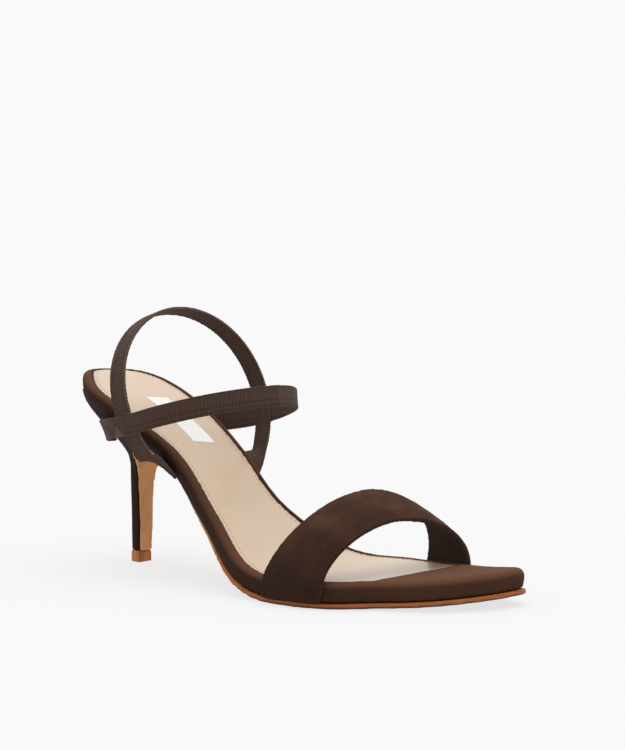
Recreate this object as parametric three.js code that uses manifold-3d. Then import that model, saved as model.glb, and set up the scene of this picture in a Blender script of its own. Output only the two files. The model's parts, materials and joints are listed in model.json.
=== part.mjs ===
// Strappy heeled sandal for the right foot, about EU 38, in millimetres.
// +X runs from the heel to the toe, +Y towards the inner side of the foot and +Z up.
// The origin is the middle of the ground under the whole sandal.

import * as THREE from 'three';
import { mergeVertices } from 'three/addons/utils/BufferGeometryUtils.js';
import Module from 'manifold-3d';

const wasm = await Module();
wasm.setup();

// Last: lengths and heights measured to the top of the footbed
const LENGTH = 229.4;
const BALL_WIDTH = 77.5;
const SEAT_HEIGHT = 86.5;
const TOE_SPRING = 5.2;
const SEAT_ROUND = 28;
const TOE_CORNER_RADIUS = 9.5;
const TOE_SLANT = 0.48;
const TOE_BULGE = 2.2;
const SLANT_START = 0.72;

// Sole layers, measured square to the footbed
const GAP = 0.3;
const FOOTBED_THICKNESS = 7.9;
const OUTSOLE_THICKNESS = 2.0;
const FLAP_THICKNESS = 1.3;
const RIM_RADIUS = 3;
const RIM_WIDTH = 4.2;
const RIM_DROP = 0.5;
const UNDERCUT = 1.4;
const SHANK_UNDERCUT = 0.9;
const FLANK_CURVE = 1.6;
const OUTSOLE_INSET = 0.2;
const SHANK_INSET = 4.2;
const SHANK_INSET_END = 0.66;
const SOCK_THICKNESS = 1.1;
const SOCK_SHIFT = 0.5;
const SOCK_FRONT = 186;
const SOCK_FRONT_SLANT = THREE.MathUtils.degToRad(4);

// Heel
const TIP_WIDTH = 6.9;
const TIP_LENGTH = 6.9;
const TIP_BACK = 28.2;
const TIP_HEIGHT = 5;
const TIP_BEVEL = 1;
const TOP_PIECE_OVERHANG = 0.4;
const HEEL_SEAT_WIDTH = 44;
const HEEL_SEAT_BACK = 3.6;
const HEEL_SEAT_LENGTH = 46;
const HEEL_SEAT_SHIFT = 0.8;
const HEEL_TIP_SQUARENESS = 2.3;
const HEEL_SEAT_SQUARENESS = 2.6;
const FLAP_FOLD = 2;

// Toe strap: where its edges leave the footbed, as shares of the length, and how high they rise
const VAMP_THICKNESS = 1.8;
const VAMP_BACK = { lateral: 0.633, medial: 0.719, tuck: 0, rise: 34.2, lean: 0.29 };
const VAMP_FRONT = { lateral: 0.757, medial: 0.828, tuck: 0.012, rise: 23.4, lean: 0.05 };
const VAMP_FOOT = [0.95, 0.5, 0];
const VAMP_CLEARANCE = 0.6;
const VAMP_FULLNESS = { across: 1.1, lateral: 1.1, medial: 0.92 };
const VAMP_CROWN = 1.6;

// Elastic straps: one from the shank's sides round behind the ankle, leaning back, and one from the
// heel's sides round before the instep. They cross at both sides of the ankle and are joined there.
const ELASTIC_WIDTH = 8.8;
const ELASTIC_THICKNESS = 1.4;
const CROSSING_OVERLAP = 0.35;
const SLING_RADIUS = 40.7;
const SLING_WIDENING = 1.005;
const SLING_SHOULDER = 0.035;
const SLING_CENTRE = 31.9;
const SLING_LEAN = THREE.MathUtils.degToRad(16);
const SLING_TWIST = THREE.MathUtils.degToRad(3.5);
const SLING_MIDDLE = -2.4;
const SLING_BASE = 0.367;
const SLING_SWEEP = THREE.MathUtils.degToRad(124);
const SLING_FOOT_LATERAL = 0.356;
const SLING_FOOT_MEDIAL = 0.372;
const SLING_FOOT_SPREAD = 6;
const SLING_FOOT_FLARE = 1.5;
const SLING_FOOT_END = 1.05;
const SLING_FOOT_SLANT = 0.4;
const SLING_FOOT_START = 0.35;
const SLING_CLEARANCE = 0.6;
const CROSSING_UP = 23.1;
const INSTEP_FOOT_BACK = 36.4;
const INSTEP_FOOT_DROP = 4;
const INSTEP_FOOT_SPREAD = 3.2;
const INSTEP_LENGTH = 78.9;
const INSTEP_RISE = 16.5;
const INSTEP_LEAN = THREE.MathUtils.degToRad(12);
const INSTEP_FRONT_LEAN = THREE.MathUtils.degToRad(14);

// Where the footbed's top runs: rise from the ball to the seat, and spring of the toe
const PROFILE = [
  { at: 0.0, rise: 1.0, spring: 0 },
  { at: 0.053, rise: 0.985, spring: 0 },
  { at: 0.133, rise: 0.9, spring: 0 },
  { at: 0.245, rise: 0.752, spring: 0 },
  { at: 0.356, rise: 0.553, spring: 0 },
  { at: 0.466, rise: 0.262, spring: 0 },
  { at: 0.578, rise: 0.036, spring: 0 },
  { at: 0.645, rise: 0, spring: 0 },
  { at: 0.735, rise: 0, spring: 0 },
  { at: 0.82, rise: 0, spring: 0.15 },
  { at: 0.91, rise: 0, spring: 0.46 },
  { at: 1.0, rise: 0, spring: 1 },
];

// Half-widths of the footbed on its two sides, as shares of the ball width
const OUTLINE = [
  { at: 0.0, lateral: 0.2, medial: 0.315 },
  { at: 0.053, lateral: 0.24, medial: 0.335 },
  { at: 0.133, lateral: 0.343, medial: 0.357 },
  { at: 0.245, lateral: 0.379, medial: 0.3 },
  { at: 0.356, lateral: 0.356, medial: 0.222 },
  { at: 0.466, lateral: 0.428, medial: 0.195 },
  { at: 0.578, lateral: 0.548, medial: 0.345 },
  { at: 0.689, lateral: 0.556, medial: 0.442 },
  { at: 0.8, lateral: 0.48, medial: 0.397 },
  { at: 0.9, lateral: 0.395, medial: 0.33 },
  { at: 0.96, lateral: 0.32, medial: 0.281 },
  { at: 1.0, lateral: 0.25, medial: 0.239 },
];

// How the heel opens from its tip to its seat: share of the way at its back, breast and width
const HEEL = [
  { at: 0.0, back: 0, breast: 0, width: 0 },
  { at: 0.3, back: 0, breast: 0.02, width: 0.015 },
  { at: 0.45, back: 0, breast: 0.035, width: 0.04 },
  { at: 0.57, back: 0.005, breast: 0.05, width: 0.07 },
  { at: 0.65, back: 0.12, breast: 0.08, width: 0.12 },
  { at: 0.72, back: 0.35, breast: 0.14, width: 0.23 },
  { at: 0.8, back: 0.63, breast: 0.23, width: 0.43 },
  { at: 0.87, back: 0.84, breast: 0.39, width: 0.66 },
  { at: 0.94, back: 0.97, breast: 0.64, width: 0.86 },
  { at: 1.0, back: 1, breast: 1, width: 1 },
];

// Half of the instep strap, from its foot at the heel's side to its front bend: shares of the way
// along, out to the side and up
const INSTEP = [
  { at: 0.0, along: 0, side: 0.55, up: 0 },
  { at: 0.03, along: 0.004, side: 0.62, up: 0.002 },
  { at: 0.12, along: 0.085, side: 0.785, up: 0.05 },
  { at: 0.3, along: 0.25, side: 0.968, up: 0.15 },
  { at: 0.48, along: 0.43, side: 1, up: 0.3 },
  { at: 0.66, along: 0.655, side: 0.93, up: 0.58 },
  { at: 0.8, along: 0.84, side: 0.67, up: 0.82 },
  { at: 0.92, along: 0.96, side: 0.3, up: 0.96 },
  { at: 1.0, along: 1, side: 0, up: 1 },
];

// Heights at which the heel is cut, close together where it opens out
const HEEL_LEVELS = [
  0, 0.1, 0.2, 0.3, 0.4, 0.48, 0.54, 0.6, 0.65, 0.69, 0.73, 0.77, 0.81, 0.85, 0.89, 0.93, 0.965, 1,
];

// How finely the curved surfaces are cut
const PROFILE_STEPS = 400;
const SEAT_STEPS = 8;
const BODY_STEPS = 38;
const TOE_STEPS = 7;
const COLUMNS = 4;
const RIM_STEPS = 4;
const FLANK_SHARES = [0.35, 0.7, 1];
const HEEL_STEPS = 10;
const STRAP_COLUMNS = 4;
const VAMP_STEPS = 32;
const SLING_STEPS = 34;
const INSTEP_STEPS = 34;
const INSTEP_SPACING = 1.4;

const SOLE_DEPTH = FOOTBED_THICKNESS + GAP + OUTSOLE_THICKNESS;
const SEAT_RISE = SEAT_HEIGHT - SOLE_DEPTH;
const LATERAL = -1;
const MEDIAL = 1;

const lerp = THREE.MathUtils.lerp;
const smoothstep = THREE.MathUtils.smoothstep;

// Value of a table's column at a share of its run: a smooth curve through the rows
function smooth(rows, column, at) {
  const last = rows.length - 1;
  const step = (k) => rows[k + 1].at - rows[k].at;
  const slope = (k) => (rows[k + 1][column] - rows[k][column]) / step(k);
  const tangent = (k) => {
    if (k === 0) return slope(0);
    if (k === last) return slope(last - 1);
    if (slope(k - 1) * slope(k) === 0) return 0;
    return (slope(k - 1) * step(k) + slope(k) * step(k - 1)) / (step(k - 1) + step(k));
  };
  const above = rows.findIndex((row) => row.at >= at);
  const k = above < 0 ? last - 1 : Math.max(above - 1, 0);
  const u = (at - rows[k].at) / step(k);
  const [a, b] = [rows[k][column], rows[k + 1][column]];
  const [ta, tb] = [tangent(k) * step(k), tangent(k + 1) * step(k)];
  const u2 = u * u;
  const u3 = u2 * u;
  return (2 * u3 - 3 * u2 + 1) * a + (u3 - 2 * u2 + u) * ta + (3 * u2 - 2 * u3) * b + (u3 - u2) * tb;
}

// The footbed is a flat pattern, laid out along s and across y, bent along one profile curve
const profile = [];
for (let i = 0; i <= PROFILE_STEPS; i++) {
  const at = i / PROFILE_STEPS;
  const x = at * LENGTH;
  const rise = SEAT_RISE * smooth(PROFILE, 'rise', at);
  const spring = TOE_SPRING * smooth(PROFILE, 'spring', at);
  const z = SOLE_DEPTH + rise + spring;
  const before = profile[i - 1];
  const s = before ? before.s + Math.hypot(x - before.x, z - before.z) : 0;
  profile.push({ at, x, z, s });
}

function reach(at) {
  const i = Math.min(Math.floor(at * PROFILE_STEPS), PROFILE_STEPS - 1);
  return lerp(profile[i].s, profile[i + 1].s, at * PROFILE_STEPS - i);
}

// Point of the bent pattern, at a depth below the footbed's top
function bend({ s, y }, depth) {
  let i = profile.findIndex((sample) => sample.s >= s) - 1;
  i = Math.min(Math.max(i, 0), PROFILE_STEPS - 1);
  const [a, b] = [profile[i], profile[i + 1]];
  const u = THREE.MathUtils.clamp((s - a.s) / (b.s - a.s), 0, 1);
  const [c, d] = [profile[Math.max(i - 1, 0)], profile[Math.min(i + 2, PROFILE_STEPS)]];
  const slopeA = (b.z - c.z) / (b.x - c.x);
  const slopeB = (d.z - a.z) / (d.x - a.x);
  const slope = lerp(slopeA, slopeB, u);
  const run = Math.hypot(1, slope);
  return new THREE.Vector3(lerp(a.x, b.x, u) + depth * slope / run, y, lerp(a.z, b.z, u) - depth / run);
}

// Point of the flat pattern: a share of the length, and from -1 at the outer edge to 1 at the inner
function place(at, across) {
  const lateral = BALL_WIDTH * smooth(OUTLINE, 'lateral', at);
  const medial = BALL_WIDTH * smooth(OUTLINE, 'medial', at);
  const middle = (medial - lateral) / 2;
  let half = (medial + lateral) / 2;
  const fromHeel = Math.min(at * LENGTH, SEAT_ROUND);
  half *= Math.sqrt(1 - (1 - fromHeel / SEAT_ROUND) ** 2);
  const fromToe = Math.min((1 - at) * LENGTH, TOE_CORNER_RADIUS);
  half -= TOE_CORNER_RADIUS - Math.sqrt(TOE_CORNER_RADIUS ** 2 - (TOE_CORNER_RADIUS - fromToe) ** 2);
  const ramp = smoothstep(at, SLANT_START, 1);
  const y = middle + across * half;
  return { at, y, s: reach(at) - ramp * (TOE_SLANT * (medial - y) + TOE_BULGE * across * across) };
}

// Shares of the length at which the pattern is cut: close together round the seat and the toe
function stations() {
  const shares = [];
  const seatEnd = SEAT_ROUND / LENGTH;
  const toeStart = 1 - TOE_CORNER_RADIUS / LENGTH;
  for (let i = 0; i < SEAT_STEPS; i++) shares.push(seatEnd * (1 - Math.cos(Math.PI / 2 * i / SEAT_STEPS)));
  for (let i = 0; i <= BODY_STEPS; i++) shares.push(lerp(seatEnd, toeStart, i / BODY_STEPS));
  for (let i = 1; i <= TOE_STEPS; i++) shares.push(lerp(toeStart, 1, Math.sin(Math.PI / 2 * i / TOE_STEPS)));
  return shares;
}

// Closed loop round the pattern: out along the outer side, across the toe, back along the inner
function edgeLoop(shares) {
  const loop = shares.map((at) => place(at, LATERAL));
  const end = shares.at(-1);
  for (let j = 1; j < COLUMNS; j++) loop.push(place(end, lerp(LATERAL, MEDIAL, j / COLUMNS)));
  for (const at of shares.slice(1).reverse()) loop.push(place(at, MEDIAL));
  return loop;
}

// The same loop drawn in, by an inset that may change along the length
function drawnIn(loop, inset) {
  return loop.map((point, i) => {
    const before = loop[(i + loop.length - 1) % loop.length];
    const after = loop[(i + 1) % loop.length];
    const [ds, dy] = [after.s - before.s, after.y - before.y];
    const run = Math.hypot(ds, dy);
    const by = inset(point.at);
    return { at: point.at, s: point.s - by * dy / run, y: point.y + by * ds / run };
  });
}

// Triangles of one closed body
class Skin {
  corners = [];

  triangle(a, b, c) {
    this.corners.push(a, b, c);
  }

  quad(a, b, c, d) {
    this.triangle(a, b, c);
    this.triangle(a, c, d);
  }

  // Band of faces between two closed rings of points
  wall(upper, lower) {
    upper.forEach((point, i) => {
      const next = (i + 1) % upper.length;
      this.quad(point, lower[i], lower[next], upper[next]);
    });
  }

  // Sheet of faces over rows of points
  sheet(rows, turned = false) {
    for (let i = 0; i + 1 < rows.length; i++) {
      for (let j = 0; j + 1 < rows[i].length; j++) {
        const face = [rows[i][j], rows[i + 1][j], rows[i + 1][j + 1], rows[i][j + 1]];
        if (turned) face.reverse();
        this.quad(...face);
      }
    }
  }

  geometry() {
    const positions = this.corners.flatMap((corner) => corner.toArray());
    const loose = new THREE.BufferGeometry();
    loose.setAttribute('position', new THREE.Float32BufferAttribute(positions, 3));
    const merged = mergeVertices(loose, 1e-3);
    const index = [];
    for (let i = 0; i < merged.index.count; i += 3) {
      const [a, b, c] = [0, 1, 2].map((k) => merged.index.getX(i + k));
      if (a !== b && b !== c && c !== a) index.push(a, b, c);
    }
    if (volumeOf(merged, index) < 0) index.reverse();
    merged.setIndex(index);
    return merged;
  }
}

function volumeOf(geometry, index) {
  const points = geometry.attributes.position;
  const corner = (i) => new THREE.Vector3().fromBufferAttribute(points, index[i]);
  let volume = 0;
  for (let i = 0; i < index.length; i += 3) volume += corner(i).dot(corner(i + 1).cross(corner(i + 2))) / 6;
  return volume;
}

// Rows of a cap over a drawn-in loop, bent to one depth
function capRows(ring, count, depth) {
  const rows = [];
  for (let i = 0; i < count; i++) {
    const lateral = ring[i];
    const medial = i === 0 ? ring[0] : ring[ring.length - i];
    const row = [];
    for (let j = 0; j <= COLUMNS; j++) {
      const u = j / COLUMNS;
      let point = { s: lerp(lateral.s, medial.s, u), y: lerp(lateral.y, medial.y, u) };
      if (j === 0) point = lateral;
      if (j === COLUMNS) point = medial;
      if (i === count - 1) point = ring[i + j];
      row.push(bend(point, depth(lateral.at)));
    }
    rows.push(row);
  }
  return rows;
}

// Layer of the sole: levels from its top face round its edge to its bottom face
function layer(shares, levels) {
  const skin = new Skin();
  const loop = edgeLoop(shares);
  const rings = levels.map(({ inset }) => drawnIn(loop, inset));
  const bent = levels.map(({ depth }, k) => rings[k].map((point) => bend(point, depth(point.at))));
  for (let k = 0; k + 1 < levels.length; k++) skin.wall(bent[k], bent[k + 1]);
  const [top, bottom] = [levels[0], levels.at(-1)];
  skin.sheet(capRows(rings[0], shares.length, top.depth));
  skin.sheet(capRows(rings.at(-1), shares.length, bottom.depth), true);
  return skin.geometry();
}

const level = (inset, depth) => ({
  inset: typeof inset === 'function' ? inset : () => inset,
  depth: typeof depth === 'function' ? depth : () => depth,
});

function toSolid(geometry) {
  return new wasm.Manifold(new wasm.Mesh({
    numProp: 3,
    vertProperties: new Float32Array(geometry.attributes.position.array),
    triVerts: new Uint32Array(geometry.index.array),
  }));
}

function fromSolid(solid) {
  const mesh = solid.getMesh();
  const geometry = new THREE.BufferGeometry();
  geometry.setAttribute('position', new THREE.BufferAttribute(mesh.vertProperties, 3));
  geometry.setIndex(new THREE.BufferAttribute(mesh.triVerts, 1));
  return geometry;
}

// How much of the forefoot's sole a place has: none under the shank, all from the ball on
const forefoot = (at) => smoothstep(at, SHANK_INSET_END / 2, SHANK_INSET_END);

// How far the footbed's side draws in under its rim: most under the shank
const undercut = (at) => UNDERCUT + SHANK_UNDERCUT * (1 - forefoot(at));

// Inset of the footbed's flank at a share of the way from its rim down to its underside
const flankInset = (at, share) => undercut(at) * share ** FLANK_CURVE;
const flankDepth = (share) => lerp(RIM_RADIUS, FOOTBED_THICKNESS, share);

// The footbed's edge: its round rim, then its flank
function rimLevels() {
  const levels = [];
  for (let i = 0; i <= RIM_STEPS; i++) {
    const angle = Math.PI / 2 * i / RIM_STEPS;
    levels.push(level(RIM_RADIUS * (1 - Math.sin(angle)), RIM_RADIUS * (1 - Math.cos(angle))));
  }
  for (const share of FLANK_SHARES) levels.push(level((at) => flankInset(at, share), flankDepth(share)));
  return levels;
}

// Point beside the footbed's flank, a distance out from it
function besideFlank(at, side, share, out) {
  const { s, y } = place(at, side);
  return bend({ s, y: y + side * (out - flankInset(at, Math.min(share, 1))) }, flankDepth(share));
}

// The sock, or with a clearance round it the recess that it lies in, ends in a straight front border
function sockSolid(clearance) {
  const inset = RIM_WIDTH - clearance;
  const top = clearance > 0 ? -RIM_RADIUS : RIM_DROP;
  const bottom = RIM_DROP + SOCK_THICKNESS + clearance;
  const whole = toSolid(layer(stations(), [level(inset, top), level(inset, bottom)]));
  const ahead = new THREE.BoxGeometry(LENGTH, 2 * LENGTH, LENGTH);
  ahead.translate(LENGTH / 2 + clearance, 0, 0);
  ahead.rotateZ(-SOCK_FRONT_SLANT);
  ahead.translate(SOCK_FRONT, 0, 0);
  ahead.deleteAttribute('normal');
  ahead.deleteAttribute('uv');
  return whole.translate([0, SOCK_SHIFT, 0]).subtract(toSolid(mergeVertices(ahead)));
}

function makeFootbed() {
  const whole = toSolid(layer(stations(), rimLevels()));
  return fromSolid(whole.subtract(sockSolid(GAP)));
}

// Half of the heel's level section at a share of its height: points from its breast to its back
function heelSection(v) {
  const back = lerp(TIP_BACK, HEEL_SEAT_BACK, smooth(HEEL, 'back', v));
  const tipBreast = TIP_BACK + TIP_LENGTH;
  const seatBreast = HEEL_SEAT_BACK + HEEL_SEAT_LENGTH;
  const breast = lerp(tipBreast, seatBreast, smooth(HEEL, 'breast', v));
  const half = lerp(TIP_WIDTH, HEEL_SEAT_WIDTH, smooth(HEEL, 'width', v)) / 2;
  const middle = HEEL_SEAT_SHIFT * smooth(HEEL, 'width', v);
  const power = 2 / lerp(HEEL_TIP_SQUARENESS, HEEL_SEAT_SQUARENESS, v);
  const points = [];
  for (let i = 0; i <= HEEL_STEPS; i++) {
    const angle = Math.PI / 2 * i / HEEL_STEPS;
    const x = breast - (breast - back) * Math.sin(angle) ** power;
    points.push({ x, half: half * Math.max(Math.cos(angle), 0) ** power });
  }
  return { points, middle, breast, half };
}

// Height of the footbed's underside over a place on the ground
function ceiling(x) {
  const underside = profile.map((sample) => bend({ s: sample.s, y: 0 }, FOOTBED_THICKNESS + GAP));
  const k = Math.max(underside.findIndex((point) => point.x >= x), 1);
  const [a, b] = [underside[k - 1], underside[k]];
  return lerp(a.z, b.z, (x - a.x) / (b.x - a.x));
}

const seatSection = heelSection(1);
const seatCeiling = seatSection.points.map((point) => ceiling(point.x));
const HEEL_FOOT = TIP_HEIGHT + GAP;

function heelRing(v) {
  const { points, middle } = heelSection(v);
  const at = (i, side) => {
    const z = lerp(HEEL_FOOT, seatCeiling[i], v);
    return new THREE.Vector3(points[i].x, middle + side * points[i].half, z);
  };
  const lateral = points.map((_, i) => at(i, LATERAL));
  const medial = points.map((_, i) => at(i, MEDIAL));
  return { lateral, medial, ring: [...lateral, ...medial.slice(0, -1).reverse()] };
}

function makeHeel() {
  const skin = new Skin();
  const rings = HEEL_LEVELS.map(heelRing);
  for (let k = 0; k + 1 < rings.length; k++) skin.wall(rings[k + 1].ring, rings[k].ring);
  const cap = ({ lateral, medial }) => lateral.map((point, i) => [point, medial[i]]);
  skin.sheet(cap(rings.at(-1)));
  skin.sheet(cap(rings[0]), true);
  return skin.geometry();
}

function makeTopPiece() {
  const { points, middle } = heelSection(0);
  const centre = TIP_BACK + TIP_LENGTH / 2;
  const grown = (TIP_WIDTH / 2 + TOP_PIECE_OVERHANG) / (TIP_WIDTH / 2);
  const ring = (scale, z) => {
    const at = (point, side) => new THREE.Vector3(
      centre + (point.x - centre) * scale, middle + side * point.half * scale, z);
    const medial = points.slice(0, -1).reverse().map((point) => at(point, MEDIAL));
    return [...points.map((point) => at(point, LATERAL)), ...medial];
  };
  const skin = new Skin();
  const rings = [ring(1, TIP_HEIGHT), ring(grown, TIP_HEIGHT - TIP_BEVEL), ring(grown, 0)];
  skin.wall(rings[0], rings[1]);
  skin.wall(rings[1], rings[2]);
  const cap = (around) => around.slice(0, HEEL_STEPS + 1).map(
    (point, i) => [point, i === HEEL_STEPS ? point : around[around.length - 1 - i]]);
  skin.sheet(cap(rings[0]));
  skin.sheet(cap(rings[2]), true);
  return skin.geometry();
}

// The heel's breast line, from the seat down to the tip, set clear of the heel
function breastLine() {
  const line = HEEL_LEVELS.toReversed().map((v) => {
    const { breast, half, middle } = heelSection(v);
    return { x: breast, z: lerp(HEEL_FOOT, seatCeiling[0], v), half, middle };
  });
  return line.map((here, i) => {
    const before = line[Math.max(i - 1, 0)];
    const after = line[Math.min(i + 1, line.length - 1)];
    const run = Math.hypot(after.x - before.x, after.z - before.z);
    const out = { x: (before.z - after.z) / run, z: (after.x - before.x) / run };
    return { ...here, x: here.x + GAP * out.x, z: here.z + GAP * out.z, out };
  }).slice(1);
}

// Outsole: a leather sheet under the forefoot and shank that turns down the heel's breast
function makeOutsole() {
  const shares = stations();
  const inset = (at) => lerp(SHANK_INSET, OUTSOLE_INSET, forefoot(at));
  const ring = drawnIn(edgeLoop(shares), inset);
  const depth = FOOTBED_THICKNESS + GAP;
  const thickness = (at) => lerp(FLAP_THICKNESS, OUTSOLE_THICKNESS, forefoot(at));
  const whole = capRows(ring, shares.length, () => depth);
  const first = whole.findIndex((row) => row[0].x > seatSection.breast + FLAP_FOLD);
  const upper = whole.slice(first).reverse();
  const lower = capRows(ring, shares.length, (at) => depth + thickness(at)).slice(first).reverse();
  for (const { x, z, half, middle, out } of breastLine()) {
    const row = (proud) => Array.from({ length: COLUMNS + 1 }, (_, j) => new THREE.Vector3(
      x + proud * out.x, middle + lerp(-half, half, j / COLUMNS), z + proud * out.z));
    upper.push(row(0));
    lower.push(row(FLAP_THICKNESS));
  }
  return closedSheet(upper, lower);
}

// Closed body between two sheets of the same rows of points
function closedSheet(upper, lower) {
  const skin = new Skin();
  skin.sheet(upper);
  skin.sheet(lower, true);
  const [first, last] = [(row) => row[0], (row) => row.at(-1)];
  skin.sheet([upper.map(first), lower.map(first)]);
  skin.sheet([lower.map(last), upper.map(last)]);
  skin.sheet([lower[0], upper[0]]);
  skin.sheet([upper.at(-1), lower.at(-1)]);
  return skin.geometry();
}

// Strap over lengthwise lines of equally many points, with its thickness to both sides
function strap(lines, thickness) {
  const middle = lines[0].map((_, i) => lines.map((line) => line[i]));
  const face = (sign) => middle.map((row, i) => {
    const before = middle[Math.max(i - 1, 0)];
    const after = middle[Math.min(i + 1, middle.length - 1)];
    return row.map((point, j) => {
      const along = after[j].clone().sub(before[j]);
      const across = row[Math.min(j + 1, row.length - 1)].clone().sub(row[Math.max(j - 1, 0)]);
      return point.clone().addScaledVector(along.cross(across).normalize(), sign * thickness / 2);
    });
  });
  return closedSheet(face(1), face(-1));
}

// Even steps across a strap
function acrossStrap(from, to) {
  return Array.from({ length: STRAP_COLUMNS + 1 }, (_, j) => lerp(from, to, j / STRAP_COLUMNS));
}

// One line along the toe strap, a share of the way from its back edge to its front edge:
// up the outer flank, over the toes and down the inner flank
function vampLine(share) {
  const [lateral, medial, tuck, rise, lean] = ['lateral', 'medial', 'tuck', 'rise', 'lean'].map(
    (key) => lerp(VAMP_BACK[key], VAMP_FRONT[key], share));
  const out = VAMP_CLEARANCE + VAMP_THICKNESS / 2;
  const foot = (at, side, back) => VAMP_FOOT.map((down) => besideFlank(at - back * down, side, down, out));
  const [start, end] = [foot(lateral, LATERAL, tuck), foot(medial, MEDIAL, 0)];
  const arch = [];
  for (let i = 1; i < VAMP_STEPS; i++) {
    const angle = Math.PI * i / VAMP_STEPS;
    const cos = Math.cos(angle);
    const across = (1 - Math.sign(cos) * Math.abs(cos) ** VAMP_FULLNESS.across) / 2;
    const up = Math.sin(angle) ** (cos > 0 ? VAMP_FULLNESS.lateral : VAMP_FULLNESS.medial);
    const crown = VAMP_CROWN * 4 * share * (1 - share) * Math.sqrt(Math.sin(angle));
    const point = start.at(-1).clone().lerp(end.at(-1), across);
    const raised = new THREE.Vector3(lean * rise * up, -crown * cos, rise * up + crown * Math.sin(angle));
    arch.push(point.add(raised));
  }
  return [...start, ...arch, ...end.reverse()];
}

// Point of the sling strap's loop: at an angle from its top, and across it from -1 at its back edge to 1
function slingPoint(angle, across) {
  const base = bend({ s: reach(SLING_BASE), y: 0 }, SOLE_DEPTH);
  const up = SLING_CENTRE + SLING_RADIUS * Math.cos(angle);
  const widening = SLING_WIDENING + SLING_SHOULDER * Math.cos(angle);
  const out = SLING_RADIUS * widening * Math.sin(angle);
  const ahead = across * ELASTIC_WIDTH / 2;
  return new THREE.Vector3(
    base.x - up * Math.sin(SLING_LEAN) + out * Math.sin(SLING_TWIST) + ahead * Math.cos(SLING_LEAN),
    SLING_MIDDLE + out * Math.cos(SLING_TWIST),
    base.z + up * Math.cos(SLING_LEAN) + ahead * Math.sin(SLING_LEAN));
}

// One line along the sling strap, from where it tucks under the shank's outer edge to its inner edge
function slingLine(across) {
  const out = SLING_CLEARANCE + ELASTIC_THICKNESS / 2;
  const foot = (share, side) => {
    const at = share + across * SLING_FOOT_SPREAD / LENGTH;
    return [
      besideFlank(at, side, SLING_FOOT_END - across * SLING_FOOT_SLANT, out),
      besideFlank(at, side, SLING_FOOT_START, out + SLING_FOOT_FLARE),
    ];
  };
  const points = foot(SLING_FOOT_LATERAL, LATERAL);
  for (let i = 0; i <= SLING_STEPS; i++) {
    points.push(slingPoint(lerp(-SLING_SWEEP, SLING_SWEEP, i / SLING_STEPS), across));
  }
  points.push(...foot(SLING_FOOT_MEDIAL, MEDIAL).reverse());
  return new THREE.CatmullRomCurve3(points, false, 'centripetal').getPoints(2 * points.length);
}

// Middle line of the instep strap, from its foot at the outer side of the heel to that at the inner
function instepMiddle() {
  const angle = Math.acos((CROSSING_UP - SLING_CENTRE) / SLING_RADIUS);
  const crossing = slingPoint(angle, 0);
  const halfWidth = crossing.y - SLING_MIDDLE + ELASTIC_THICKNESS - CROSSING_OVERLAP;
  const half = (side) => Array.from({ length: INSTEP_STEPS + 1 }, (_, i) => {
    const at = (i / INSTEP_STEPS) ** INSTEP_SPACING;
    const share = (column) => smooth(INSTEP, column, at);
    const shift = lerp(HEEL_SEAT_SHIFT, SLING_MIDDLE, smoothstep(at, 0, INSTEP[4].at));
    const point = new THREE.Vector3(
      crossing.x - INSTEP_FOOT_BACK + INSTEP_LENGTH * share('along'),
      shift + side * halfWidth * share('side'),
      crossing.z - INSTEP_FOOT_DROP + INSTEP_RISE * share('up'));
    return { at, point };
  });
  return [...half(LATERAL), ...half(MEDIAL).reverse().slice(1)];
}

// One line along the instep strap, from -1 at its lower edge to 1 at its upper edge
function instepLine(across) {
  const middle = instepMiddle();
  return middle.map(({ at, point }, i) => {
    const before = middle[Math.max(i - 1, 0)].point;
    const after = middle[Math.min(i + 1, middle.length - 1)].point;
    const along = after.clone().sub(before).setZ(0).normalize();
    const outward = new THREE.Vector3(along.y, -along.x, 0);
    const up = across * ELASTIC_WIDTH / 2;
    const lean = INSTEP_LEAN * smoothstep(at, 0, INSTEP[4].at) * (1 - smoothstep(at, INSTEP[4].at, 1));
    const frontLean = INSTEP_FRONT_LEAN * smoothstep(at, INSTEP[4].at, 1);
    const back = INSTEP_FOOT_SPREAD * across * (1 - smoothstep(at, 0, INSTEP[3].at));
    return point.clone()
      .addScaledVector(outward, up * Math.sin(lean))
      .add(new THREE.Vector3(-back - up * Math.sin(frontLean), 0, up * Math.cos(lean + frontLean)));
  });
}

function makeAnkleStraps() {
  const sling = toSolid(strap(acrossStrap(-1, 1).map(slingLine), ELASTIC_THICKNESS));
  const instep = toSolid(strap(acrossStrap(-1, 1).map(instepLine), ELASTIC_THICKNESS));
  return fromSolid(sling.add(instep));
}

function material(color, roughness) {
  return new THREE.MeshStandardMaterial({ color, roughness, metalness: 0 });
}

const nubuck = material(0x3b241a, 0.85);
const suede = material(0x402a1f, 0.9);
const elastic = material(0x3a2c26, 0.8);
const beige = material(0xd9bfa5, 0.55);
const tan = material(0xa9693b, 0.45);

const sandal = new THREE.Group();

function add(name, geometry, finish) {
  const mesh = new THREE.Mesh(geometry, finish);
  mesh.name = name;
  sandal.add(mesh);
}

add('footbed', makeFootbed(), nubuck);
add('sock', fromSolid(sockSolid(0)), beige);
add('outsole', makeOutsole(), tan);
add('heel', makeHeel(), nubuck);
add('top_piece', makeTopPiece(), tan);
add('vamp_strap', strap(acrossStrap(0, 1).map(vampLine), VAMP_THICKNESS), suede);
add('ankle_straps', makeAnkleStraps(), elastic);

// The origin goes to the middle of the ground under the sandal
const extent = new THREE.Box3().setFromObject(sandal, true);
const centre = extent.getCenter(new THREE.Vector3());
sandal.position.set(-centre.x, -centre.y, -extent.min.z);

export default sandal;
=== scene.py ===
# Strappy heeled sandal, the right shoe: the looks over its CAD frame.
# +X runs from the heel to the toe, +Y towards the inner side of the foot and +Z up.

import json
import math

import bmesh
import bpy
import numpy as np
from mathutils import Matrix, Vector, noise
from mathutils.bvhtree import BVHTree

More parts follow.
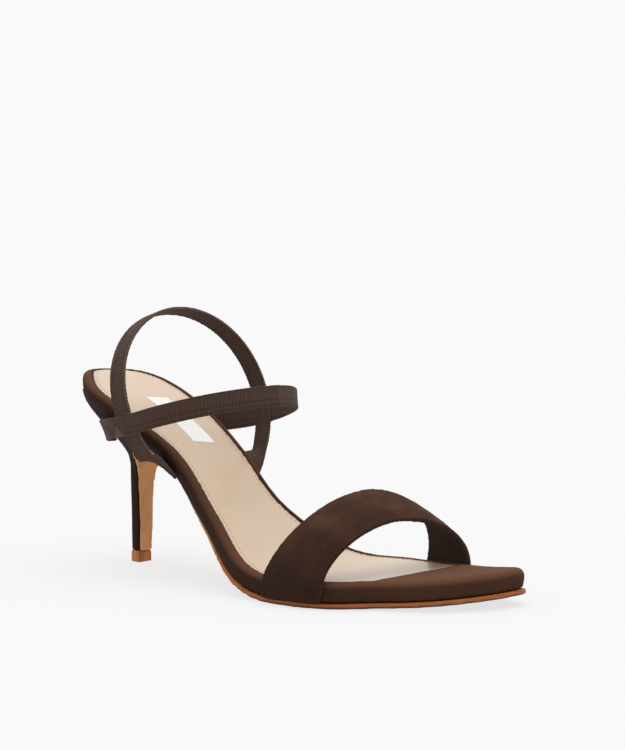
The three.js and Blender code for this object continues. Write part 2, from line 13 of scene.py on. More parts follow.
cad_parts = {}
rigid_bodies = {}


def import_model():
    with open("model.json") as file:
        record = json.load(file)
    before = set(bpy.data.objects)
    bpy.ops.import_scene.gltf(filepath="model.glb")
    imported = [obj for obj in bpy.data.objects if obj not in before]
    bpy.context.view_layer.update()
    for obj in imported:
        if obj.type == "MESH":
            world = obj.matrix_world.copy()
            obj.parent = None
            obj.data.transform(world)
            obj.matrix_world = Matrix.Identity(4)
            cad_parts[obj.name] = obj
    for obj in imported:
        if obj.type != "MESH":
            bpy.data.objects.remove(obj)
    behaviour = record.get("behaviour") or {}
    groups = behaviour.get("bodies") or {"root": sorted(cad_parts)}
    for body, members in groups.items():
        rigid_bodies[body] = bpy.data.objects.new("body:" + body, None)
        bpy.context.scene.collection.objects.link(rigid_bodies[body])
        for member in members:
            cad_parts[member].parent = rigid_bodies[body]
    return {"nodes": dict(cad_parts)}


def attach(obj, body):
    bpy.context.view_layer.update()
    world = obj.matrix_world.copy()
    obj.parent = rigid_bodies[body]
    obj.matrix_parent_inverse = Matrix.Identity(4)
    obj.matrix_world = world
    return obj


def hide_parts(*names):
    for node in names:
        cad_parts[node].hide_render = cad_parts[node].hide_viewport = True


MM = 0.001

for leftover in list(bpy.data.objects):
    bpy.data.objects.remove(leftover)
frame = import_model()
bpy.context.view_layer.update()
scene = bpy.context.scene

# Camera: where it stands, and how the picture is framed
TARGET = Vector((-2.366, 0.549, 45)) * MM
AZIMUTH = math.radians(41.3261)
ELEVATION = math.radians(5.6297)
ROLL = math.radians(0.2488)
DISTANCE = 650 * MM
LENS = 75.03
SENSOR = 36
SHIFT = (0.0627, 0.1302)

# Elastic straps, in metres: the sling strap's loop and the weave
ELASTIC_WIDTH = 8.8 * MM
ELASTIC_THICKNESS = 1.4 * MM
SLING_RADIUS = 40.7 * MM
SLING_WIDENING = 1.005
SLING_SHOULDER = 0.035
SLING_SWEEP = math.radians(124)
SLING_CENTRE = Vector((-43.38, 0.65, 73.17)) * MM
SLING_LEAN = math.radians(16)
SLING_TWIST = math.radians(3.5)
RIB_PITCH = 1.3 * MM
GROOVES = (-0.3, -0.74, 0.86)
END_ACROSS = (-0.85, 0.8)
BAND_TOLERANCE = 0.4 * MM
FACE_TOLERANCE = 0.3 * MM
LOOP_STEPS = 400
TURN_BINS = 120
LEAST_IN_BIN = 20

# Where the sling strap's feet lie, below a height and from a little behind its loop's middle,
# and where the instep strap's ends begin
FEET_TOP = 58 * MM
FEET_BACK = 16 * MM
INSTEP_END = -68 * MM

FACING_UP = 0.45

# Sock: rounds of softening away from its edge, its border with a groove and stitches, and its label
SOCK_ROUNDS = 90
BORDER_WIDTH = 2.6 * MM
BORDER_STEP = 1 * MM
SOFT_FROM = 3 * MM
GROOVE_WIDTH = 0.45 * MM
GROOVE_DEPTH = 0.14 * MM
STITCH_INSET = 1.7 * MM
STITCH_PITCH = 2.3 * MM
STITCH_LENGTH = 1.4 * MM
STITCH_RADIUS = 0.15 * MM
STITCH_SIDES = 6
STITCH_RINGS = ((-0.5, 0.35), (-0.42, 0.85), (0, 1.0), (0.42, 0.85), (0.5, 0.35))
STITCH_LIFT = 0.02 * MM
LABEL_LENGTH = 35 * MM
LABEL_WIDTH = 11.5 * MM
LABEL_MIDDLE = Vector((-53.9, 3.0)) * MM
LABEL_TURN = math.radians(-9.5)
LABEL_THICKNESS = 0.15 * MM
LABEL_SUNK = 0.1 * MM
LABEL_STEPS = (40, 14)

# Dressed pieces: edge length of their even mesh and rounds of softening
PIECES = {
    "footbed": {"slot": "nubuck", "edge": 0.75, "rounds": 24},
    "sock": {"slot": "lining_leather", "edge": 0.6, "rounds": 12},
    "outsole": {"slot": "sole_leather", "edge": 0.6, "rounds": 16},
    "heel": {"slot": "nubuck", "edge": 0.5, "rounds": 20},
    "top_piece": {"slot": "heel_tip", "edge": 0.25, "rounds": 4},
    "vamp_strap": {"slot": "suede", "edge": 0.5, "rounds": 30},
    "ankle_straps": {"slot": "elastic", "edge": 0.42, "rounds": 10},
}

PULLS = (0.5, -0.52)
WELD = 1e-6
DROP_HEIGHT = 120 * MM

# Colours, as the eye sees them
NUBUCK = (0.17, 0.102, 0.072)
NUBUCK_LIGHT = (0.345, 0.228, 0.16)
# Painted shade: a darker copy of the nubuck for the heel's wrap, which lies in shade
HEEL_NUBUCK_SHADED = (0.12, 0.072, 0.054)
SUEDE = (0.165, 0.102, 0.078)
SUEDE_LIGHT = (0.345, 0.225, 0.158)
SUEDE_DARK = (0.15, 0.09, 0.066)
LINING = (0.235, 0.185, 0.165)
ELASTIC = (0.285, 0.209, 0.177)
ELASTIC_LIGHT = (0.4, 0.325, 0.285)
ELASTIC_DARK = (0.185, 0.132, 0.112)
BEIGE = (0.755, 0.66, 0.555)
BEIGE_DARK = (0.73, 0.62, 0.515)
THREAD = (0.71, 0.595, 0.49)
TAN = (0.75, 0.545, 0.34)
TAN_DARK = (0.62, 0.41, 0.23)
SOLE_EDGE = (0.61, 0.335, 0.1)
SOLE_EDGE_DARK = (0.26, 0.14, 0.07)
TIP = (0.7, 0.42, 0.15)
TIP_DARK = (0.54, 0.3, 0.09)
LABEL = (0.9, 0.89, 0.87)
BACKDROP = 0.947

# Grain: the nap's fibres and single hairs, the elastic's threads and sway, the leathers' pores
NAP = 0.35 * MM
HAIRS = 0.12 * MM
THREADS = 0.22 * MM
SWAY_SIZE = 2.6 * MM
SWAY = 2.4 * MM
PORES = 0.8 * MM

# Slow unevenness of the surfaces: its height, its size and its seed; and puckers at the toe strap's feet
UNEVEN = {
    "vamp_strap": (0.22 * MM, 16 * MM, 5),
    "footbed": (0.1 * MM, 12 * MM, 7),
    "heel": (0.06 * MM, 9 * MM, 13),
    "sock": (0.12 * MM, 22 * MM, 17),
}
PUCKER_HEIGHT = 0.18 * MM
PUCKER_SIZE = 5 * MM
PUCKER_RISE = 14 * MM

# Sole leather: edge colour up to a height, tan above it and behind the heel's breast
EDGE_TOP = (10 * MM, 30 * MM)
BREAST = (-60 * MM, -50 * MM)

# Light: the floor's own glow as a share, the key light's strength against the room's, where the key
# light stands and how broad it is
FLOOR_HALF = 30
FLOOR_GLOW = 0.78
KEY_SHARE = 0.6
FLOOR_TONE = (1 - FLOOR_GLOW) / (1 + KEY_SHARE)
KEY = Vector((-0.08, 0.14, 1)).normalized()
KEY_SPREAD = math.radians(55)


def linear(color):
    """A colour as the eye sees it, turned into the shader's linear values."""
    return [c / 12.92 if c <= 0.04045 else ((c + 0.055) / 1.055) ** 2.4 for c in color] + [1]


class Finish:
    """A material under construction: its shader and the nodes that lead to it."""

    def __init__(self, name, **shader):
        self.material = bpy.data.materials.new(name)
        self.material.use_nodes = True
        self.tree = self.material.node_tree
        self.shader = self.tree.nodes["Principled BSDF"]
        for socket, value in shader.items():
            self.shader.inputs[socket.replace("_", " ").title().replace("Ior", "IOR")].default_value = value

    def node(self, kind, inputs=None, **settings):
        made = self.tree.nodes.new(kind)
        for key, value in settings.items():
            setattr(made, key, value)
        for key, value in (inputs or {}).items():
            if isinstance(value, bpy.types.NodeSocket):
                self.tree.links.new(value, made.inputs[key])
            else:
                made.inputs[key].default_value = value
        return made

    def place(self):
        return self.node("ShaderNodeTexCoord").outputs["Object"]

    def attribute(self, name):
        return self.node("ShaderNodeAttribute", attribute_name=name).outputs["Fac"]

    def noise(self, size, detail=2, vector=None):
        """Noise with features of about that size in metres."""
        found = self.node("ShaderNodeTexNoise", {"Vector": vector or self.place(), "Scale": 1 / size,
                                                 "Detail": detail})
        return found.outputs["Fac"]

    def math(self, operation, a, b=0.0, c=0.0):
        return self.node("ShaderNodeMath", {0: a, 1: b, 2: c}, operation=operation).outputs[0]

    def ramp(self, value, low, high, start=0.0, end=1.0):
        """The value carried smoothly from low..high to start..end."""
        found = self.node("ShaderNodeMapRange", {"Value": value, "From Min": low, "From Max": high,
                                                 "To Min": start, "To Max": end},
                          interpolation_type="SMOOTHSTEP")
        return found.outputs["Result"]

    def mix(self, share, first, second):
        """Two colours mixed, each a colour or a socket."""
        made = self.node("ShaderNodeMix", {0: share}, data_type="RGBA")
        for index, value in ((6, first), (7, second)):
            if isinstance(value, bpy.types.NodeSocket):
                self.tree.links.new(value, made.inputs[index])
            else:
                made.inputs[index].default_value = linear(value)
        return made.outputs[2]

    def finish(self, color, height=None, depth=0.1 * MM, roughness=None):
        self.tree.links.new(color, self.shader.inputs["Base Color"])
        if roughness is not None:
            self.tree.links.new(roughness, self.shader.inputs["Roughness"])
        if height is not None:
            bump = self.node("ShaderNodeBump", {"Height": height, "Distance": depth, "Strength": 1.0})
            self.tree.links.new(bump.outputs["Normal"], self.shader.inputs["Normal"])
        return self.material


def napped(name, base, light, dark, patch, fleck):
    """Brushed leather: soft lighter and darker patches of nap over a fine grain."""
    made = Finish(name, roughness=0.9, sheen_weight=0.06, sheen_roughness=0.5)
    made.shader.inputs["Specular IOR Level"].default_value = 0.12
    made.shader.inputs["Sheen Tint"].default_value = linear(light)
    broad = made.noise(patch, 3)
    fine = made.noise(NAP, 3)
    hairs = made.noise(HAIRS, 1)
    color = made.mix(made.ramp(broad, 0.35, 0.65, 0.35, 1), dark, base)
    # Painted light and wear: the nap lighter where a piece's dressing marks faces turned up or towards the
    # toe, and in random worn patches
    color = made.mix(made.ramp(made.attribute("wear_and_painted_light"), 0.0, 1.0), color, light)
    color = made.mix(made.ramp(fine, 0.5, 0.8, 0, fleck), color, light)
    height = made.math("ADD", fine, made.math("MULTIPLY", hairs, 0.5))
    return made, color, height


def suede_finish():
    made, color, height = napped("suede", SUEDE, SUEDE_LIGHT, SUEDE_DARK, 14 * MM, 0.65)
    facing = made.attribute("inner")
    # Painted highlight: the strap's cut edges, between its outer and inner faces, are lightened towards the
    # light suede colour
    off_edge = made.math("ABSOLUTE", made.math("SUBTRACT", facing, 0.5))
    color = made.mix(made.ramp(off_edge, 0.1, 0.45, 0.55, 0), color, SUEDE_LIGHT)
    inner = made.ramp(facing, 0.5, 0.8)
    color = made.mix(inner, color, LINING)
    return made.finish(color, height, 0.12 * MM)


def nubuck_finish(name, base, fleck):
    made, color, height = napped(name, base, NUBUCK_LIGHT, SUEDE_DARK, 20 * MM, fleck)
    return made.finish(color, height, 0.07 * MM)


def elastic_finish():
    made = Finish("elastic", roughness=0.85, sheen_weight=0.04, sheen_roughness=0.4)
    made.shader.inputs["Specular IOR Level"].default_value = 0.15
    along = made.attribute("along")
    across = made.attribute("across")
    sway = made.math("MULTIPLY", made.noise(SWAY_SIZE, 3), SWAY)
    turns = made.math("MULTIPLY", made.math("ADD", along, sway), 2 * math.pi / RIB_PITCH)
    rib = made.math("MULTIPLY_ADD", made.math("SINE", turns), 0.5, 0.5)
    threads = made.noise(THREADS, 2)
    groove = 0.0
    for middle in GROOVES:
        off = made.math("ABSOLUTE", made.math("SUBTRACT", across, middle))
        groove = made.math("MAXIMUM", groove, made.ramp(off, 0.0, 0.1, 1, 0))
    edge = made.ramp(made.math("ABSOLUTE", across), 0.9, 1.0)
    # Painted shade: the valleys between the ribs are coloured darker where the bump sinks them
    color = made.mix(made.ramp(rib, 0.0, 0.8, 0.45, 1), ELASTIC_DARK, ELASTIC)
    color = made.mix(made.ramp(threads, 0.5, 0.8, 0, 0.7), color, ELASTIC_LIGHT)
    # Painted shade: the sunk grooves are coloured darker
    color = made.mix(made.math("MULTIPLY", groove, 0.6), color, ELASTIC_DARK)
    color = made.mix(made.math("MULTIPLY", edge, 0.5), color, ELASTIC_LIGHT)
    height = made.math("MULTIPLY_ADD", threads, 0.35, made.math("SUBTRACT", rib, groove))
    return made.finish(color, height, 0.16 * MM)


def sock_finish():
    made = Finish("sock_leather", roughness=0.42, coat_weight=0.5, coat_roughness=0.28)
    broad = made.noise(30 * MM, 2)
    grain = made.node("ShaderNodeTexVoronoi", {"Vector": made.place(), "Scale": 1 / PORES},
                      feature="DISTANCE_TO_EDGE").outputs["Distance"]
    pores = made.ramp(grain, 0.0, 0.16)
    color = made.mix(made.ramp(broad, 0.3, 0.7, 0.0, 0.35), BEIGE, BEIGE_DARK)
    color = made.mix(made.ramp(made.attribute("border"), 0.0, 1.0, 0.0, 0.55), color, BEIGE_DARK)
    return made.finish(color, made.math("MULTIPLY_ADD", made.noise(0.3 * MM, 2), 0.4, pores), 0.02 * MM)


def sole_finish():
    made = Finish("sole_leather", roughness=0.55, coat_weight=0.06, coat_roughness=0.25)
    made.shader.inputs["Specular IOR Level"].default_value = 0.3
    spot = made.node("ShaderNodeSeparateXYZ", {0: made.place()}).outputs
    layers = made.noise(0.5 * MM, 2, made.node("ShaderNodeVectorMath", {0: made.place(), 1: (0.06, 0.06, 1)},
                                              operation="MULTIPLY").outputs[0])
    broad = made.noise(9 * MM, 3)
    color = made.mix(made.ramp(broad, 0.3, 0.75, 0, 0.5), TAN, TAN_DARK)
    edge = made.mix(made.ramp(layers, 0.45, 0.7, 0, 0.4), SOLE_EDGE, SOLE_EDGE_DARK)
    # Painted shade: the edge and underside darker where they face down near the ground
    edge = made.mix(made.ramp(made.attribute("under"), 0.1, 0.7), edge, SOLE_EDGE_DARK)
    upper = made.math("MAXIMUM", made.ramp(spot["Z"], *EDGE_TOP), made.ramp(spot["X"], *BREAST, 1, 0))
    color = made.mix(upper, edge, color)
    return made.finish(color, made.noise(0.4 * MM, 3), 0.03 * MM)


def tip_finish():
    made = Finish("heel_tip", roughness=0.5, coat_weight=0.04, coat_roughness=0.3)
    made.shader.inputs["Specular IOR Level"].default_value = 0.3
    streaks = made.noise(0.9 * MM, 2, made.node("ShaderNodeVectorMath", {0: made.place(), 1: (1, 1, 0.08)},
                                               operation="MULTIPLY").outputs[0])
    color = made.mix(made.ramp(streaks, 0.35, 0.65), TIP, TIP_DARK)
    return made.finish(color, streaks, 0.05 * MM)


def plain_finish(name, color, roughness, size):
    """One colour with a faint mottle and grain of about that size in metres."""
    made = Finish(name, roughness=roughness)
    shade = made.mix(made.ramp(made.noise(size, 2), 0.3, 0.7, 0, 0.3), color, [c * 0.85 for c in color])
    return made.finish(shade, made.noise(size / 2, 2), 0.03 * MM)


def points_of(mesh, what="co"):
    """The mesh's points, or their normals, one row each."""
    found = np.empty(len(mesh.vertices) * 3)
    mesh.vertices.foreach_get(what, found)
    return found.reshape(-1, 3)


def write_points(mesh, points):
    mesh.vertices.foreach_set("co", points.ravel())
    mesh.update()


def write_attribute(mesh, name, values):
    mesh.attributes.new(name, "FLOAT", "POINT").data.foreach_set("value", np.asarray(values, np.float32))


def soften(mesh, rounds, share=1.0):
    """Evens out a mesh without shrinking it: each round pulls points in and pushes them back out.

    The share says how far each point takes part, for all points or one by one.
    """
    edges = np.empty(len(mesh.edges) * 2, int)
    mesh.edges.foreach_get("vertices", edges)
    first, second = edges[0::2], edges[1::2]
    points = points_of(mesh)
    count = len(points)
    neighbours = np.bincount(edges, minlength=count)[:, None]
    for _ in range(rounds):
        for pull in PULLS:
            total = np.stack([np.bincount(first, points[second, k], count)
                              + np.bincount(second, points[first, k], count) for k in range(3)], 1)
            points += pull * share * (total / neighbours - points)
    write_points(mesh, points)


def dressed(node, slot, edge, rounds):
    """A copy of a CAD node with an even mesh and softly rounded corners."""
    mesh = frame["nodes"][node].data.copy()
    mesh.materials.clear()
    welded = bmesh.new()
    welded.from_mesh(mesh)
    bmesh.ops.remove_doubles(welded, verts=welded.verts, dist=WELD)
    welded.to_mesh(mesh)
    welded.free()
    piece = bpy.data.objects.new(node + "_dressed", mesh)
    scene.collection.objects.link(piece)
    even = piece.modifiers.new("even", "REMESH")
    even.mode = "VOXEL"
    even.voxel_size = edge * MM
    found = bpy.data.meshes.new_from_object(piece.evaluated_get(bpy.context.evaluated_depsgraph_get()))
    piece.modifiers.clear()
    piece.data = found
    soften(found, rounds)
    found.shade_smooth()
    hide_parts(node)
    return piece


def new_piece(name, points, faces):
    """A piece that no CAD node stands for, from its points and faces."""
    mesh = bpy.data.meshes.new(name)
    mesh.from_pydata([tuple(p) for p in points], [], faces)
    mesh.shade_smooth()
    piece = bpy.data.objects.new(name, mesh)
    scene.collection.objects.link(piece)
    return piece


def wave(points, size, seed):
    """Slow unevenness from -1 to 1 over the points, with features of about that size."""
    away = Vector((seed, seed * 2.7, seed * 1.3))
    return np.array([noise.noise(Vector(p) / size + away) for p in points])


def uneven(node, points):
    height, size, seed = UNEVEN[node]
    return height * wave(points, size, seed)


def smoothed(values, reach):
    """Running mean over a row of values, whose ends are held."""
    padded = np.pad(values, reach, mode="edge")
    return np.convolve(padded, np.ones(2 * reach + 1) / (2 * reach + 1), "valid")


pieces = {node: dressed(node, **how) for node, how in PIECES.items()}


def mark_straps():
    """Writes each point's place along its elastic strap in metres, and across it from -1 to 1."""
    mesh = pieces["ankle_straps"].data
    points = points_of(mesh)
    ahead = Vector((math.cos(SLING_LEAN) * math.cos(SLING_TWIST), -math.sin(SLING_TWIST),
                    math.sin(SLING_LEAN)))
    ahead.normalize()
    up = Vector((-math.sin(SLING_LEAN), 0, math.cos(SLING_LEAN)))
    side = up.cross(ahead)
    local = points - np.array(SLING_CENTRE)
    w, u, v = (local @ np.array(axis) for axis in (ahead, side, up))
    radius = np.hypot(u, v)
    angle = np.arctan2(u, v)
    # turn: direction from the loop's middle, by which the instep strap's middle line is found
    turn = np.arctan2(points[:, 1] - SLING_CENTRE.y, points[:, 0] - SLING_CENTRE.x)
    # the instep strap lies outside the sling strap's loop where they cross
    round_loop = np.linspace(0, math.pi, LOOP_STEPS)
    loop_u = SLING_RADIUS * (SLING_WIDENING + SLING_SHOULDER * np.cos(round_loop)) * np.sin(round_loop)
    loop_v = SLING_RADIUS * np.cos(round_loop)
    loop_radius = np.interp(abs(angle), np.arctan2(loop_u, loop_v), np.hypot(loop_u, loop_v))
    proud = radius - loop_radius
    within_band = abs(w) < ELASTIC_WIDTH / 2 + BAND_TOLERANCE
    on_loop = within_band & (proud < ELASTIC_THICKNESS / 2 + FACE_TOLERANCE)
    below = (points[:, 2] < FEET_TOP) & (points[:, 0] > SLING_CENTRE.x - FEET_BACK)
    sling = on_loop | below
    along = angle * SLING_RADIUS
    end = np.sign(u) * SLING_SWEEP
    beyond = (u - SLING_RADIUS * np.sin(end)) * np.cos(end) - (v - SLING_RADIUS * np.cos(end)) * np.sin(end)
    past = (beyond * np.sign(u) > 0) & (v < 0)
    along = np.where(past, end * SLING_RADIUS + beyond, along)
    across = w / (ELASTIC_WIDTH / 2)
    across = np.where(past, np.clip(across, *END_ACROSS), across)
    bins = TURN_BINS
    which = np.clip(((turn + math.pi) / (2 * math.pi) * bins).astype(int), 0, bins - 1)
    middle = np.full((bins, 3), np.nan)
    half = np.full(bins, np.nan)
    for k in range(bins):
        chosen = points[(which == k) & ~sling]
        if len(chosen) > LEAST_IN_BIN:
            low, high = chosen.min(0), chosen.max(0)
            middle[k] = (low + high) / 2
            half[k] = (high[2] - low[2]) / 2
    known = ~np.isnan(half)
    centres = (np.arange(bins) + 0.5) / bins * 2 * math.pi - math.pi
    line = np.stack([np.interp(centres, centres[known], middle[known, k]) for k in range(3)], 1)
    line = np.stack([smoothed(line[:, k], 2) for k in range(3)], 1)
    run = np.concatenate([[0], np.cumsum(np.linalg.norm(np.diff(line, axis=0), axis=1))])
    behind = SLING_CENTRE.x - points[:, 0]
    outer_side, inner_side = np.interp([-math.pi / 2, math.pi / 2], centres, run)
    beside = np.where(turn < 0, outer_side - behind, inner_side + behind)
    instep_along = np.where(behind > 0, beside, np.interp(turn, centres, run))
    reach = np.interp(turn, centres[known], half[known])
    instep_across = (points[:, 2] - np.interp(turn, centres, line[:, 2])) / reach
    at_end = points[:, 0] < INSTEP_END
    instep_across = np.where(at_end, np.clip(instep_across, *END_ACROSS), instep_across)
    write_attribute(mesh, "along", np.where(sling, along, instep_along))
    write_attribute(mesh, "across", np.clip(np.where(sling, across, instep_across), -1, 1))


def dress_vamp():
    """Soft unevenness of the suede and its two faces: nap outside and lining inside."""
    mesh = pieces["vamp_strap"].data
    points = points_of(mesh)
    normals = points_of(mesh, "normal")
    heart = np.array([points[:, 0].mean(), points[:, 1].mean(), points[:, 2].min() + 4 * MM])
    toward = (heart - points) / np.linalg.norm(heart - points, axis=1)[:, None]
    write_attribute(mesh, "inner", np.clip((normals * toward).sum(1) * 1.6 + 0.5, 0, 1))
    # Painted highlight: faces turned up are lighter, as the light falls from above, with random lighter
    # patches of nap mixed in
    facing = np.clip(normals[:, 2] * 0.9, 0, 1) * (0.5 + 0.25 * wave(points, 7 * MM, 3))
    write_attribute(mesh, "wear_and_painted_light", np.clip(facing + 0.15 * wave(points, 11 * MM, 8), 0, 1))
    puckers = wave(points * [1, 0.4, 0.35], PUCKER_SIZE, 11)
    near_foot = np.clip(1 - (points[:, 2] - points[:, 2].min()) / PUCKER_RISE, 0, 1)
    lift = uneven("vamp_strap", points) + PUCKER_HEIGHT * puckers * near_foot
    write_points(mesh, points + normals * lift[:, None])


def dress_footbed():
    """Painted light on the nap, lighter on the rim's top and other faces turned up and towards the toe; and
    a slight unevenness.
    """
    mesh = pieces["footbed"].data
    points = points_of(mesh)
    normals = points_of(mesh, "normal")
    # Painted highlight: faces turned up are lighter, as the light falls from above, and the nap grows
    # lighter towards the toe
    top = np.clip(normals[:, 2] * 1.2 - 0.2, 0, 1) * 0.85
    ahead = np.clip(points[:, 0] / (90 * MM), 0, 1) * 0.4
    write_attribute(mesh, "wear_and_painted_light", np.clip(top + ahead, 0, 0.95))
    write_points(mesh, points + normals * uneven("footbed", points)[:, None])


def dress_heel():
    """Slight wear and unevenness of the heel's wrap."""
    mesh = pieces["heel"].data
    points = points_of(mesh)
    normals = points_of(mesh, "normal")
    write_attribute(mesh, "wear_and_painted_light", np.clip(wave(points, 12 * MM, 9), 0, 1) * 0.2)
    write_points(mesh, points + normals * uneven("heel", points)[:, None])


def dress_outsole():
    """Marks where the sole's lower edge and underside face down near the ground, for painted shade there."""
    mesh = pieces["outsole"].data
    points = points_of(mesh)
    normals = points_of(mesh, "normal")
    lip = np.clip(points[:, 2] / (12 * MM), 0, 1)
    write_attribute(mesh, "under", np.clip(0.4 - normals[:, 2] * 1.3, 0, 1) * (1 - lip))


def edge_of(node):
    """The loop of points round a CAD node's upper face."""
    found = bmesh.new()
    found.from_mesh(frame["nodes"][node].data)
    bmesh.ops.remove_doubles(found, verts=found.verts, dist=WELD)
    top = {face for face in found.faces if face.normal.z > FACING_UP}
    neighbours = {}
    for edge in found.edges:
        if sum(face in top for face in edge.link_faces) == 1:
            a, b = edge.verts
            neighbours.setdefault(a, []).append(b)
            neighbours.setdefault(b, []).append(a)
    start = min(neighbours, key=lambda vert: vert.co.x)
    loop, before = [start], None
    while True:
        following = [vert for vert in neighbours[loop[-1]] if vert is not before]
        before = loop[-1]
        if following[0] is start or len(loop) > len(neighbours):
            break
        loop.append(following[0])
    points = np.array([vert.co[:] for vert in loop])
    found.free()
    return points


def spaced(points, pitch):
    """A closed line resampled at an even pitch."""
    closed = np.vstack([points, points[:1]])
    run = np.concatenate([[0], np.cumsum(np.linalg.norm(np.diff(closed, axis=0), axis=1))])
    count = round(run[-1] / pitch)
    at = np.arange(count) / count * run[-1]
    return np.stack([np.interp(at, run, closed[:, k]) for k in range(3)], 1)


def drawn_in(points, inset):
    """The closed line drawn in on the level, towards its middle."""
    steps = []
    count = len(points)
    reach = 3
    for k in range(count):
        tangent = Vector(points[(k + reach) % count]) - Vector(points[k - reach])
        steps.append((Vector((0, 0, 1)).cross(tangent).normalized() * inset)[:])
    moved = points + np.array(steps)
    centre = points.mean(0)
    if np.linalg.norm(moved - centre) > np.linalg.norm(points - centre):
        moved = points - np.array(steps)
    return moved


def surface_of(piece):
    """The piece's faces as a tree that rays can hit."""
    return BVHTree.FromPolygons([v.co[:] for v in piece.data.vertices],
                                [p.vertices[:] for p in piece.data.polygons])


def laid_on(surface, point, lift=0.0):
    """A point dropped onto the top of a surface, and the surface's normal there."""
    hit, normal, _, _ = surface.ray_cast(Vector((point[0], point[1], DROP_HEIGHT)), Vector((0, 0, -1)))
    return hit + normal * lift, normal


def make_stitches():
    """Short beige stitches all round the sock, a little way in from its edge."""
    surface = surface_of(pieces["sock"])
    line = drawn_in(spaced(edge_of("sock"), STITCH_PITCH), STITCH_INSET)
    line = spaced(line, STITCH_PITCH)
    points, faces = [], []
    sides = STITCH_SIDES
    for k in range(len(line)):
        middle, normal = laid_on(surface, line[k], STITCH_LIFT)
        ahead, _ = laid_on(surface, line[(k + 1) % len(line)])
        tangent = (ahead - middle).normalized()
        side = normal.cross(tangent).normalized()
        base = len(points)
        for along, grown in STITCH_RINGS:
            for j in range(sides):
                turn = 2 * math.pi * j / sides
                out = side * math.cos(turn) + normal * math.sin(turn)
                points.append(middle + tangent * along * STITCH_LENGTH + out * STITCH_RADIUS * grown)
        for i in range(len(STITCH_RINGS) - 1):
            for j in range(sides):
                a, b = base + i * sides + j, base + i * sides + (j + 1) % sides
                faces.append((a, a + sides, b + sides, b))
        faces.append(tuple(base + j for j in range(sides)))
        last = base + (len(STITCH_RINGS) - 1) * sides
        faces.append(tuple(last + j for j in reversed(range(sides))))
    return new_piece("sock_stitches", points, faces)


def make_label():
    """The blank label on the sock: a thin rectangle that follows the leather."""
    surface = surface_of(pieces["sock"])
    turn = Matrix.Rotation(LABEL_TURN, 2)
    columns, rows = LABEL_STEPS
    points, faces = [], []
    for lift in (LABEL_THICKNESS, -LABEL_SUNK):
        for i in range(columns + 1):
            for j in range(rows + 1):
                flat = Vector(((i / columns - 0.5) * LABEL_LENGTH, (j / rows - 0.5) * LABEL_WIDTH))
                place, _ = laid_on(surface, (LABEL_MIDDLE + turn @ flat)[:], lift)
                points.append(place)
    size = (columns + 1) * (rows + 1)

    def at(i, j):
        return i * (rows + 1) + j

    for i in range(columns):
        for j in range(rows):
            quad = (at(i, j), at(i + 1, j), at(i + 1, j + 1), at(i, j + 1))
            faces.append(quad)
            faces.append(tuple(size + k for k in reversed(quad)))
    border = [at(i, 0) for i in range(columns)] + [at(columns, j) for j in range(rows)]
    border += [at(i, rows) for i in range(columns, 0, -1)] + [at(0, j) for j in range(rows, 0, -1)]
    for k, here in enumerate(border):
        following = border[(k + 1) % len(border)]
        faces.append((here, here + size, following + size, following))
    return new_piece("label", points, faces)


def dress_sock():
    """Even top, darker border and the sunk line that the stitches lie in."""
    mesh = pieces["sock"].data
    points = points_of(mesh)
    edge = spaced(edge_of("sock"), BORDER_STEP)
    nearest = np.full(len(points), np.inf)
    for spot in edge:
        nearest = np.minimum(nearest, np.linalg.norm(points - spot, axis=1))
    write_attribute(mesh, "border", np.clip(1 - nearest / BORDER_WIDTH, 0, 1))
    soften(mesh, SOCK_ROUNDS, np.clip(nearest / SOFT_FROM - 0.5, 0, 1)[:, None])
    points = points_of(mesh)
    normals = points_of(mesh, "normal")
    groove = np.exp(-((nearest - STITCH_INSET) / GROOVE_WIDTH) ** 2)
    lift = uneven("sock", points) - GROOVE_DEPTH * groove
    write_points(mesh, points + normals * (lift * (normals[:, 2] > 0.3))[:, None])


mark_straps()
dress_vamp()
dress_footbed()
dress_heel()
dress_outsole()
dress_sock()
stitches = make_stitches()
label = make_label()

finishes = {
    "footbed": nubuck_finish("nubuck", NUBUCK, 0.4),
    # Painted shade: the heel's wrap takes the darker nubuck and fewer light flecks
    "heel": nubuck_finish("heel_nubuck_painted_shade", HEEL_NUBUCK_SHADED, 0.2),
    "sock": sock_finish(),
    "outsole": sole_finish(),
    "top_piece": tip_finish(),
    "vamp_strap": suede_finish(),
    "ankle_straps": elastic_finish(),
}
for node, material in finishes.items():
    pieces[node].data.materials.append(material)
stitches.data.materials.append(plain_finish("thread", THREAD, 0.7, 0.5 * MM))
label.data.materials.append(plain_finish("label_cloth", LABEL, 0.5, 0.8 * MM))
for piece in [*pieces.values(), stitches, label]:
    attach(piece, "root")

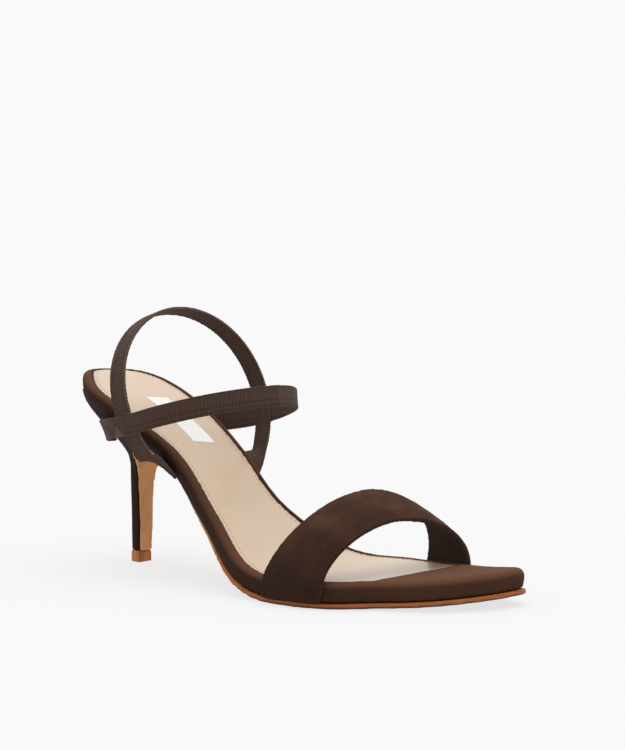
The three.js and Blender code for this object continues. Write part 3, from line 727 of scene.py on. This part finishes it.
# Camera
back = Vector((math.sin(AZIMUTH) * math.cos(ELEVATION), -math.cos(AZIMUTH) * math.cos(ELEVATION),
               math.sin(ELEVATION)))
right = Vector((math.cos(AZIMUTH), math.sin(AZIMUTH), 0))
upward = back.cross(right)
picture_right = right * math.cos(ROLL) - upward * math.sin(ROLL)
picture_up = right * math.sin(ROLL) + upward * math.cos(ROLL)
camera = bpy.data.objects.new("camera", bpy.data.cameras.new("camera"))
scene.collection.objects.link(camera)
turned = Matrix((picture_right, picture_up, back)).transposed().to_4x4()
camera.matrix_world = Matrix.Translation(TARGET + back * DISTANCE) @ turned
camera.data.lens = LENS
camera.data.sensor_fit = "VERTICAL"
camera.data.sensor_height = SENSOR
camera.data.shift_x, camera.data.shift_y = SHIFT
camera.data.clip_start = 0.01
scene.camera = camera

# Floor and light: a white studio
floor_mesh = bpy.data.meshes.new("floor")
floor_mesh.from_pydata([(x, y, 0) for x, y in ((-1, -1), (1, -1), (1, 1), (-1, 1))], [], [(0, 1, 2, 3)])
floor_mesh.transform(Matrix.Scale(FLOOR_HALF, 4))
floor = bpy.data.objects.new("floor", floor_mesh)
scene.collection.objects.link(floor)
floor_finish = Finish("floor_paint", roughness=1.0)
floor_finish.shader.inputs["Base Color"].default_value = (FLOOR_TONE, FLOOR_TONE, FLOOR_TONE, 1)
floor_finish.shader.inputs["Specular IOR Level"].default_value = 0.0
floor_finish.shader.inputs["Emission Color"].default_value = (1, 1, 1, 1)
floor_finish.shader.inputs["Emission Strength"].default_value = BACKDROP * FLOOR_GLOW
floor_mesh.materials.append(floor_finish.material)

world = bpy.data.worlds.new("studio")
world.use_nodes = True
world.node_tree.nodes["Background"].inputs["Color"].default_value = (BACKDROP, BACKDROP, BACKDROP, 1)
scene.world = world


# Key light: broad, from above. The floor, lit by the room and this light, comes out as bright
# as the backdrop
key_light = bpy.data.lights.new("key", "SUN")
key_light.energy = math.pi * BACKDROP * KEY_SHARE / KEY.z
key_light.angle = KEY_SPREAD
key_lamp = bpy.data.objects.new("key", key_light)
key_lamp.rotation_euler = KEY.to_track_quat("Z", "Y").to_euler()
scene.collection.objects.link(key_lamp)

scene.view_settings.view_transform = "Standard"
scene.view_settings.look = "None"

bpy.context.view_layer.update()
